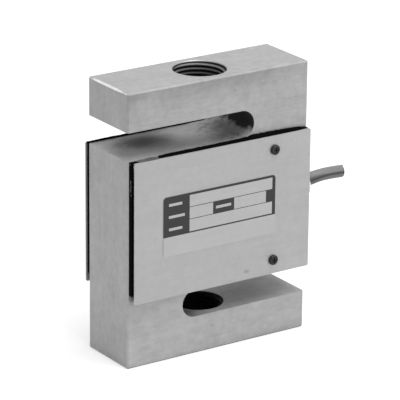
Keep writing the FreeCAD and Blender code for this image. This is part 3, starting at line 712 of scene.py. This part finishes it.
coverFinish = dict(blockFinish)
coverFinish.update({
    "colour": grey(0.425),
    "roughness": 0.40,
    "stretch": (90, 1300, 1300),
    "clouds": 60,
    "depth": 0.55,
    "speckStretch": (90, 150, 150),
    "speckRarity": 0.88,
    "speckShare": 0.5,
    # Bright corners of the covers: partly wear, partly painted highlight.
    "edgeRadius": 0.0003,
    "edgeGain": 2.2,
    "edgeColour": grey(0.6),
    "shadeAndDirtShare": 0.3,
    "shadeAndDirtReach": 0.002,
    "patches": (),
})
coverSteel = makeMetal("coverSheet", coverFinish)
for name in ("front_cover", "rear_cover"):
    wear(nodes[name], coverSteel)

gasketFinish = {
    "colour": grey(0.0022),
    "roughness": 0.7,
    "scale": 1800,
    "depth": 0.4,
    "bump": 0.00002,
    "specular": 0.02,
    "dust": 0.0,
}
gasketRubber = makeRubber("gasketRubber", gasketFinish)
for name in ("front_gasket", "rear_gasket"):
    wear(nodes[name], gasketRubber)


# Black beads along the tops of the gaskets, grey sealant squeezed out round them, and a black strip of
# painted shade on the front cover's edge.

# Along the top of the gasket, in millimetres: place across, height over the gasket, reach forward.
blackBead = (
    (-25.9, 0.0, 1.6), (-25.0, 0.40, 1.9), (-18.0, 0.52, 2.0), (-6.0, 0.48, 2.0),
    (4.0, 0.52, 2.0), (11.5, 0.62, 2.0), (14.5, 1.10, 2.1), (20.0, 1.08, 2.1),
    (27.0, 0.95, 2.1), (33.5, 0.62, 2.0), (37.6, 0.10, 1.6),
)
rearBead = (
    (-38.0, 0.50, 1.9), (-30.0, 0.66, 2.0), (-18.0, 0.62, 2.0),
    (-6.0, 0.56, 2.0), (3.0, 0.45, 1.9), (5.5, 0.0, 1.6),
)
greySmear = (
    (-34.6, 0.0, 1.8), (-33.2, 0.24, 2.15), (-31.5, 0.16, 2.2),
    (-29.8, 0.34, 2.25), (-27.4, 0.22, 2.2), (-25.6, 0.0, 1.9),
)
beadShape = {
    "step": 0.3,
    "sides": 7,
    "bedded": 0.06,  # how deep the bead's foot is in the gasket
    "sunk": 0.1,  # how deep its back is in the block
    "waviness": 0.22,
    "slowWaves": 0.9,
    "fastWaves": 3.1,
}


def readStations(stations, across):
    # Smooth change of height and reach between two stations.
    for before, after in zip(stations, stations[1:]):
        if across <= after[0]:
            share = (across - before[0]) / (after[0] - before[0])
            share = share * share * (3 - 2 * share)
            return [first + (second - first) * share for first, second in zip(before[1:], after[1:])]
    return list(stations[-1][1:])


def makeBead(name, stations, material, towards=-1):
    # Towards is -1 for the front gasket and 1 for the rear one.
    mesh = bmesh.new()
    back = towards * (blockHigh.y - beadShape["sunk"] * mm)
    foot = gasketTop - beadShape["bedded"] * mm
    steps = int((stations[-1][0] - stations[0][0]) / beadShape["step"])
    rows = []
    for step in range(steps + 1):
        across = stations[0][0] + step * beadShape["step"]
        height, reach = readStations(stations, across)
        wave = noise.noise(Vector((across * beadShape["slowWaves"], height, 3.7)))
        wave += 0.5 * noise.noise(Vector((across * beadShape["fastWaves"], 8.1, reach)))
        height = height * (1 + beadShape["waviness"] * wave) + beadShape["bedded"]
        row = [mesh.verts.new((across * mm, back, foot))]
        for side in range(beadShape["sides"] + 1):
            angle = side / beadShape["sides"] * math.pi / 2
            forward = back + towards * reach * mm * math.sin(angle)
            row.append(mesh.verts.new((across * mm, forward, foot + height * mm * math.cos(angle))))
        rows.append(row)
    closeTube(mesh, rows)
    addMesh(name, mesh, material, smooth=True)


smearFinish = dict(gasketFinish)
smearFinish.update({"colour": grey(0.11), "depth": 1.4, "scale": 900, "specular": 0.2})
lumpFinish = dict(smearFinish)
lumpFinish["colour"] = grey(0.10)
beadAndStripBlack = makeRubber("beadAndStripBlackRubber", gasketFinish)
sealantGrey = makeRubber("greySealant", smearFinish)
makeBead("black_bead", blackBead, beadAndStripBlack)
makeBead("sealant_smear", greySmear, sealantGrey)
makeBead("black_rear_bead", rearBead, beadAndStripBlack, towards=1)

# Lumps at the left end of the gasket: place from the block's middle, then size, in millimetres.
sealantLumps = (
    ((-37.3, -13.75, 19.2), (0.30, 0.50, 1.0)),
    ((-37.35, -13.9, 17.6), (0.28, 0.40, 0.8)),
    ((-37.3, -13.6, 16.2), (0.30, 0.55, 1.0)),
    ((-37.35, -14.0, 14.6), (0.24, 0.35, 0.6)),
    ((-37.3, -13.3, 25.6), (0.30, 0.50, 0.45)),
)
lumpShape = {"subdivisions": 3, "swell": 0.35, "coarseness": 1.7}


def makeLumps(lumps, shape):
    mesh = bmesh.new()
    for number, (place, size) in enumerate(lumps):
        made = bmesh.ops.create_icosphere(mesh, subdivisions=shape["subdivisions"], radius=1)["verts"]
        for vert in made:
            wave = noise.noise(vert.co * shape["coarseness"] + Vector((number * 5.0, 0, 0)))
            swell = 1 + shape["swell"] * wave
            spot = [place[axis] + vert.co[axis] * size[axis] * swell for axis in range(3)]
            vert.co = Vector(spot) * mm
            vert.co.z += middle.z
    addMesh("sealant_lumps", mesh, makeRubber("lumpSealant", lumpFinish), smooth=True)


makeLumps(sealantLumps, lumpShape)

edgeShadeStrip = {
    "low": 1.2,  # start and end over the cover's lower edge, in millimetres
    "high": 50.9,
    "step": 0.5,
    "across": 0.42,  # of the cover's edge that it covers
    "proud": 0.05,
    "lip": 0.02,  # how far its thin front edge is in the cover
    "sunk": 0.1,
    "behind": 0.05,
    "fullShare": 0.7,  # of its reach, before it thins out
    "waviness": 0.3,
    "runOutSteps": 4,
    "endShare": 0.2,  # of its reach that is left at both ends
}


def makeEdgeShadeStrip(setup):
    # A thin black skin on the rear part of the front cover's upright edge, as painted shade beside the
    # gasket.
    mesh = bmesh.new()
    side = coverLow.x
    rear = coverHigh.y
    steps = int((setup["high"] - setup["low"]) / setup["step"])
    rows = []
    for step in range(steps + 1):
        up = coverLow.z + (setup["low"] + step * setup["step"]) * mm
        wave = noise.noise(Vector((up * 900, 2.3, 0.7)))
        wave += 0.6 * noise.noise(Vector((up * 3000, 0.4, 5.1)))
        ends = min(1.0, step / setup["runOutSteps"], (steps - step) / setup["runOutSteps"])
        ends = setup["endShare"] + (1 - setup["endShare"]) * ends
        reach = setup["across"] * (1 + setup["waviness"] * wave) * ends * mm
        rows.append([mesh.verts.new(spot) for spot in (
            (side + setup["sunk"] * mm, rear + setup["behind"] * mm, up),
            (side - setup["proud"] * mm, rear, up),
            (side - setup["proud"] * mm, rear - reach * setup["fullShare"], up),
            (side + setup["lip"] * mm, rear - reach, up),
        )])
    closeTube(mesh, rows)
    addMesh("painted_shade_edge_strip", mesh, beadAndStripBlack)


makeEdgeShadeStrip(edgeShadeStrip)
print("sealant done")


# The cable. Its route repeats the solid's own points.

cableSizes = {
    "radius": 2.3 * mm,
    "wall": 0.55 * mm,  # of the sheath, seen where it is cut
    "route": (
        (27.5, 0.0, 50.8),
        (48.07, 0.0, 51.27),
        (52.07, 0.0, 51.92),
        (57.53, 0.0, 52.2),
        (63.9, 0.0, 51.8),
    ),
    "order": 3,
    "stepsPerPoint": 16,
    "around": 40,
    "swell": 0.07,  # fuller by this share where it leaves the gland
    "swellAt": 47 * mm,
    "swellReach": 6 * mm,
    "slant": 0.5,  # the cut across its end is not quite square
    "opened": 0.5 * mm,  # the cores lie this far inside the cut sheath
    "rimDepth": 1.5 * mm,  # how far in the sheath's inner wall is seen
    "coreRadius": 0.62 * mm,
    "coreOffset": 0.92 * mm,
    "coreAround": 20,
    "stubLength": 2.4 * mm,
    "stubBevel": 0.06 * mm,
    "stubEnd": 0.88,  # share of a core's radius left at its bevelled end
    "wiresProud": 0.2 * mm,
}

coreFinish = {  # the board and the chips share it too
    "roughness": 0.30,
    "scale": 900,
    "depth": 0.6,
    "bump": 0.00002,
    "specular": 0.5,
    "dust": 0.0,
}

sheathFinish = {
    "colour": grey(0.225),
    "undersideShadeColour": grey(0.15),
    "underTurns": (-0.5, -0.1),  # how far a spot faces down where the painted shade is full, and gone
    "streakColour": grey(0.03),  # painted dark reflection along its front
    "streakLevel": 0.10,  # how far the streak's middle faces up
    "streakWave": 0.1,
    "streakCore": 0.10,
    "streakShare": 0.95,
    "streakWidths": (0.95, 0.48),  # by the gland, and further out
    "streakPlaces": (0.046, 0.058),
    "specular": 0.35,
    "roughness": 0.38,
    "scale": 1100,
    "depth": 0.5,
    "bump": 0.00002,
}


def makeSheath(name, setup):
    material, tree, shader = newMaterial(name, {"Metallic": 0.0, "Specular IOR Level": setup["specular"]})
    skin = useGroup(tree, grain, Scale=setup["scale"], Depth=setup["depth"])
    facing = findFacing(tree)
    colour = scaleColour(tree, setup["colour"], skin["Tone"])
    # Painted shade on the underside, and a painted dark reflection along the front.
    under = fade(tree, facing["Z"], *setup["underTurns"], 1.0, 0.0)
    colour = mixColour(tree, under, colour, setup["undersideShadeColour"])
    level = calculate(tree, "ABSOLUTE", calculate(tree, "SUBTRACT", facing["Z"], setup["streakLevel"]))
    wavy = calculate(tree, "ADD", level, calculate(tree, "MULTIPLY", skin["Tone"], setup["streakWave"]))
    front = calculate(tree, "LESS_THAN", facing["Y"], 0.0)
    place = split(tree, findPlace(tree))
    spread = fade(tree, place["X"], *setup["streakPlaces"], *setup["streakWidths"])
    darkReflection = fade(tree, wavy, setup["streakCore"], spread, setup["streakShare"], 0.0)
    streak = calculate(tree, "MULTIPLY", darkReflection, front)
    colour = mixColour(tree, streak, colour, setup["streakColour"])
    tree.links.new(colour, shader.inputs["Base Color"])
    addRoughness(tree, shader, skin["Height"], setup["roughness"], 0.07)
    addBump(tree, shader, skin["Height"], setup["bump"])
    return material


cableSheath = makeSheath("cableSheath", sheathFinish)


def readRoute(sizes):
    # The points of the smooth line that the route's spline makes.
    line = bpy.data.curves.new("cableRoute", "CURVE")
    line.dimensions = "3D"
    spline = line.splines.new("NURBS")
    spline.points.add(len(sizes["route"]) - 1)
    for point, spot in zip(spline.points, sizes["route"]):
        point.co = (spot[0] * mm, spot[1] * mm, spot[2] * mm, 1)
    spline.order_u = sizes["order"]
    spline.use_endpoint_u = True
    spline.resolution_u = sizes["stepsPerPoint"]
    holder = bpy.data.objects.new("cableRoute", line)
    mesh = bpy.data.meshes.new_from_object(holder)
    points = [vert.co.copy() for vert in mesh.vertices]
    bpy.data.objects.remove(holder)
    bpy.data.curves.remove(line)
    bpy.data.meshes.remove(mesh)
    return points


def findAxes(points, index):
    # Direction of the line at a point, and the two directions across it.
    before, after = points[max(index - 1, 0)], points[min(index + 1, len(points) - 1)]
    along = (after - before).normalized()
    side = Vector((0, 1, 0))
    return along, side, along.cross(side)


def addRing(mesh, points, index, radius, around, slant, shift=0.0, offset=(0.0, 0.0)):
    along, side, up = findAxes(points, index)
    ring = []
    for step in range(around):
        angle = 2 * math.pi * step / around
        sideways = offset[0] + radius * math.cos(angle)
        upward = offset[1] + radius * math.sin(angle)
        spot = points[index] + side * sideways + up * upward + along * (slant * sideways + shift)
        ring.append(mesh.verts.new(spot))
    return ring


def makeCable(sizes, points):
    mesh = bmesh.new()
    last = len(points) - 1
    around = sizes["around"]
    rings = []
    for index in range(last + 1):
        near = max(0.0, 1 - abs(points[index].x - sizes["swellAt"]) / sizes["swellReach"])
        radius = sizes["radius"] * (1 + sizes["swell"] * near)
        slant = sizes["slant"] if index == last else 0.0
        rings.append(addRing(mesh, points, index, radius, around, slant))
    inner = sizes["radius"] - sizes["wall"]
    rings.append(addRing(mesh, points, last, inner, around, sizes["slant"]))
    rings.append(addRing(mesh, points, last, inner, around, sizes["slant"], shift=-sizes["rimDepth"]))
    closeTube(mesh, rings)
    return addMesh("cable_sheath", mesh, cableSheath, smooth=True)


def makeCoreEnd(name, material, sizes, points, offset, radius, proud):
    # A short stub of one core or of its wires, up to the cut end of the cable.
    mesh = bmesh.new()
    last = len(points) - 1
    around, slant = sizes["coreAround"], sizes["slant"]
    rings = []
    stations = ((1.0, -sizes["stubLength"]), (1.0, proud - sizes["stubBevel"]), (sizes["stubEnd"], proud))
    for share, shift in stations:
        rings.append(addRing(mesh, points, last, radius * share, around, slant, shift, offset))
    closeTube(mesh, rings)
    return addMesh(name, mesh, material)


coreColours = {
    "red": (0.45, 0.02, 0.015, 1),
    "black": (0.01, 0.01, 0.01, 1),
    "green": (0.01, 0.16, 0.04, 1),
    "white": (0.6, 0.6, 0.57, 1),
}
copperFinish = dict(blockFinish)
copperFinish.update({
    "colour": (0.55, 0.25, 0.12, 1),
    "metallic": 0.8,
    "roughness": 0.35,
    "stretch": (3000, 3000, 3000),
    "edgeRadius": 0.00005,
    "edgeColour": (0.7, 0.4, 0.2, 1),
    "speckShare": 0.0,
    "shadeAndDirtReach": 0.0004,
    "patches": (),
})
copper = makeMetal("copperWire", copperFinish)


def makeCutEnd(sizes, points):
    made = []
    radius = sizes["coreRadius"]
    skinEnd = -sizes["opened"]
    wiresEnd = skinEnd + sizes["wiresProud"]
    for number, (name, colour) in enumerate(coreColours.items()):
        finish = dict(coreFinish)
        finish["colour"] = colour
        skin = makeRubber(name + "CoreSkin", finish)
        wear(nodes["lead_" + name], skin)
        angle = math.radians(45 + 90 * number)
        offset = (sizes["coreOffset"] * math.cos(angle), sizes["coreOffset"] * math.sin(angle))
        stubs = (("core_end_", skin, radius, skinEnd), ("core_wires_", copper, radius / 2, wiresEnd))
        for label, material, width, end in stubs:
            made.append(makeCoreEnd(label + name, material, sizes, points, offset, width, end))
    return made


cablePoints = readRoute(cableSizes)
cablePiece = makeCable(cableSizes, cablePoints)
cutEnd = makeCutEnd(cableSizes, cablePoints)
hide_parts("cable")
print("cable done")


# The nameplate and its print.

foilFinish = dict(coverFinish)
foilFinish.update({
    "colour": grey(0.45),
    "roughness": 0.36,
    "stretch": (60, 2500, 2500),
    "clouds": 45,
    "depth": 0.35,
    "speckShare": 0.0,
    "edgeRadius": 0.0001,
    "edgeColour": grey(0.6),
})
labelFoil = makeMetal("labelFoil", foilFinish)
wear(nodes["nameplate"], labelFoil)

inkFinish = {
    "specular": 0.3,
    "colour": grey(0.036),
    "roughness": 0.5,
    "scale": 2600,
    "depth": 0.25,
    "bump": 0.00001,
    "dust": 0.0,
}
printInk = makeRubber("printInk", inkFinish)

# Places on the foil in millimetres from the middle of the block: left, right, bottom, top.
labelPrint = {
    "sheet": 0.02,
    "gap": 0.004,
    "field": (-24.8, 22.9, -3.42, 11.5),  # the dark field, with its two upper corners rounded
    "corner": 1.3,
    "windows": (
        (-13.85, 21.5, 6.34, 10.62),
        (-13.85, -3.95, 1.83, 6.1),
        (5.08, 18.8, 1.83, 6.1),
        (-13.85, 21.5, -2.88, 1.59),
    ),
    "bars": (  # plain bars where a maker would print the names of the rows
        (-22.55, -17.0, 7.85, 8.85),
        (-22.57, -15.9, 3.4, 4.4),
        (-22.5, -16.9, -1.2, -0.2),
        (-2.7, 3.8, 3.5, 4.5),
    ),
}


def squareOutline(box):
    left, right, bottom, top = box
    return [(left, bottom), (right, bottom), (right, top), (left, top)]


def fieldOutline(box, corner, cornerSteps=8):
    left, right, bottom, top = box
    outline = [(left, bottom), (right, bottom)]
    for centre, turn in ((right - corner, 0), (left + corner, 90)):
        for step in range(cornerSteps + 1):
            angle = math.radians(turn + 90 * step / cornerSteps)
            outline.append((centre + corner * math.cos(angle), top - corner + corner * math.sin(angle)))
    return outline


def addLayer(mesh, outline, lift):
    # A thin flat layer on the front of the foil, drawn anticlockwise as seen from the front.
    back = labelFront - lift * mm
    front = back - labelPrint["sheet"] * mm
    rear = [mesh.verts.new((across * mm, back, middle.z + up * mm)) for across, up in outline]
    face = [mesh.verts.new((across * mm, front, middle.z + up * mm)) for across, up in outline]
    mesh.faces.new(face)
    mesh.faces.new(list(reversed(rear)))
    for start in range(len(outline)):
        end = (start + 1) % len(outline)
        mesh.faces.new((rear[start], rear[end], face[end], face[start]))


def makePrint(name, outlines, lift, material):
    mesh = bmesh.new()
    for outline in outlines:
        addLayer(mesh, outline, lift)
    bmesh.ops.recalc_face_normals(mesh, faces=mesh.faces)
    addMesh(name, mesh, material)


firstLift = labelPrint["gap"]
secondLift = firstLift + labelPrint["sheet"]
makePrint("label_field", [fieldOutline(labelPrint["field"], labelPrint["corner"])], firstLift, printInk)
makePrint("label_windows", [squareOutline(box) for box in labelPrint["windows"]], secondLift, labelFoil)
makePrint("label_bars", [squareOutline(box) for box in labelPrint["bars"]], secondLift, labelFoil)
print("nameplate done")


# The screws and the gland.

screwFinish = dict(blockFinish)
screwFinish.update({
    "colour": grey(0.011),
    "metallic": 0.15,
    "specular": 0.35,
    "roughness": 0.42,
    "edgeColour": grey(0.05),
    "edgeGain": 2.0,
    "speckShare": 0.0,
    "patches": (),
    "shadeAndDirtReach": 0.001,
    "shadeAndDirtColour": grey(0.01),
})
screwSteel = makeMetal("blackenedSteel", screwFinish)
wear(nodes["cover_screws"], screwSteel)

glandFinish = dict(blockFinish)
glandFinish.update({
    "colour": grey(0.58),
    "metallic": 0.85,
    "roughness": 0.3,
    "stretch": (3000, 300, 300),
    "depth": 0.2,
    "edgeRadius": 0.0003,
    "patches": (),
    "shadeAndDirtReach": 0.0015,
})
glandMetal = makeMetal("glandPlating", glandFinish)
for name in ("gland_body", "gland_cap"):
    wear(nodes[name], glandMetal)

sealRubber = makeRubber("sealRubber", gasketFinish)
for name in ("gland_washer", "gland_seal"):
    wear(nodes[name], sealRubber)


# What is inside the window.

boardFinish = dict(coreFinish)
boardFinish["colour"] = (0.02, 0.12, 0.05, 1)
wear(nodes["terminal_board"], makeRubber("boardLaminate", boardFinish))

chipFinish = dict(coreFinish)
chipFinish["colour"] = grey(0.02)
chipCase = makeRubber("chipCase", chipFinish)
for name in ("span_resistor", "balance_resistor"):
    wear(nodes[name], chipCase)

gaugeFinish = {
    "backing": (0.42, 0.20, 0.05, 1),
    "foil": (0.36, 0.30, 0.24, 1),
    "loops": 9000,  # how close the foil's runs lie
    "share": 0.55,
    "roughness": 0.35,
    "bump": 0.000004,
}


def makeGaugeFoil(name, setup):
    # Fine parallel runs of foil on an amber backing.
    material, tree, shader = newMaterial(name, {"Specular IOR Level": 0.5})
    parts = split(tree, findPlace(tree))
    wave = calculate(tree, "SINE", calculate(tree, "MULTIPLY", parts["Y"], setup["loops"]))
    runs = fade(tree, wave, -0.2, 0.2)
    skin = useGroup(tree, grain, Scale=1500, Depth=0.3)
    backing = scaleColour(tree, setup["backing"], skin["Tone"])
    covered = calculate(tree, "MULTIPLY", runs, setup["share"])
    tree.links.new(mixColour(tree, covered, backing, setup["foil"]), shader.inputs["Base Color"])
    tree.links.new(covered, shader.inputs["Metallic"])
    rough = fade(tree, skin["Height"], 0.25, 0.75, setup["roughness"] - 0.05, setup["roughness"] + 0.1)
    tree.links.new(rough, shader.inputs["Roughness"])
    addBump(tree, shader, runs, setup["bump"])
    return material


gaugeFoil = makeGaugeFoil("gaugeFoil", gaugeFinish)
for height in ("upper", "lower"):
    for side in ("left", "right"):
        wear(nodes["gauge_" + height + "_" + side], gaugeFoil)

wear(nodes["bridge_wires"], copper)
print("inside done")


# The floor, the world and the lamps.

stageSetup = {
    "floorSize": 8.0,
    "floorColour": 0.8,
    "worldLight": 0.4,
    "backdropGlow": 0.45,
}


def findBackdropRays(tree):
    # 1 where the eye, a shiny surface or clear glass looks at the surroundings.
    rays = addNode(tree, "ShaderNodeLightPath").outputs
    throughGloss = calculate(tree, "MAXIMUM", rays["Is Glossy Ray"], rays["Is Transmission Ray"])
    return calculate(tree, "MAXIMUM", rays["Is Camera Ray"], throughGloss)


def makeFloor(setup):
    mesh = bmesh.new()
    bmesh.ops.create_grid(mesh, x_segments=1, y_segments=1, size=setup["floorSize"] / 2)
    data = bpy.data.meshes.new("floor")
    mesh.to_mesh(data)
    mesh.free()
    floor = bpy.data.objects.new("floor", data)
    floor.location = (0, 0, blockLow.z)
    bpy.context.scene.collection.objects.link(floor)
    material, tree, shader = newMaterial("floorPaper", {"Roughness": 0.9, "Specular IOR Level": 0.1})
    shader.inputs["Base Color"].default_value = grey(setup["floorColour"])
    strength = calculate(tree, "MULTIPLY", findBackdropRays(tree), setup["backdropGlow"])
    glow = addNode(tree, "ShaderNodeEmission", {"Color": grey(1.0), "Strength": strength})
    both = addNode(tree, "ShaderNodeAddShader", {0: shader.outputs[0], 1: glow.outputs[0]})
    tree.links.new(both.outputs[0], tree.nodes["Material Output"].inputs["Surface"])
    data.materials.append(material)


def makeWorld(setup):
    world = bpy.data.worlds.new("softLight")
    bpy.context.scene.world = world
    world.use_nodes = True
    tree = world.node_tree
    back = tree.nodes["Background"]
    back.inputs["Color"].default_value = grey(1.0)
    strength = fade(tree, findBackdropRays(tree), 0.0, 1.0, setup["worldLight"], 1.0)
    tree.links.new(strength, back.inputs["Strength"])


lamps = (
    {"name": "skyPanel", "spot": (0.1, -0.25, 0.95), "size": 0.7, "power": 7.0},
    {"name": "frontPanel", "spot": (0.75, -1.0, 0.35), "size": 0.6, "power": 1.5},
)


def makeLamp(lamp):
    data = bpy.data.lights.new(lamp["name"], "AREA")
    data.shape = "SQUARE"
    data.size = lamp["size"]
    data.energy = lamp["power"]
    item = bpy.data.objects.new(lamp["name"], data)
    bpy.context.scene.collection.objects.link(item)
    item.location = lamp["spot"]
    item.rotation_euler = (Vector(lamp["spot"]) - middle).to_track_quat("Z", "Y").to_euler()


makeFloor(stageSetup)
makeWorld(stageSetup)
for lamp in lamps:
    makeLamp(lamp)
bpy.context.scene.view_settings.view_transform = "Standard"
print("floor and lamps done")

bpy.context.view_layer.update()
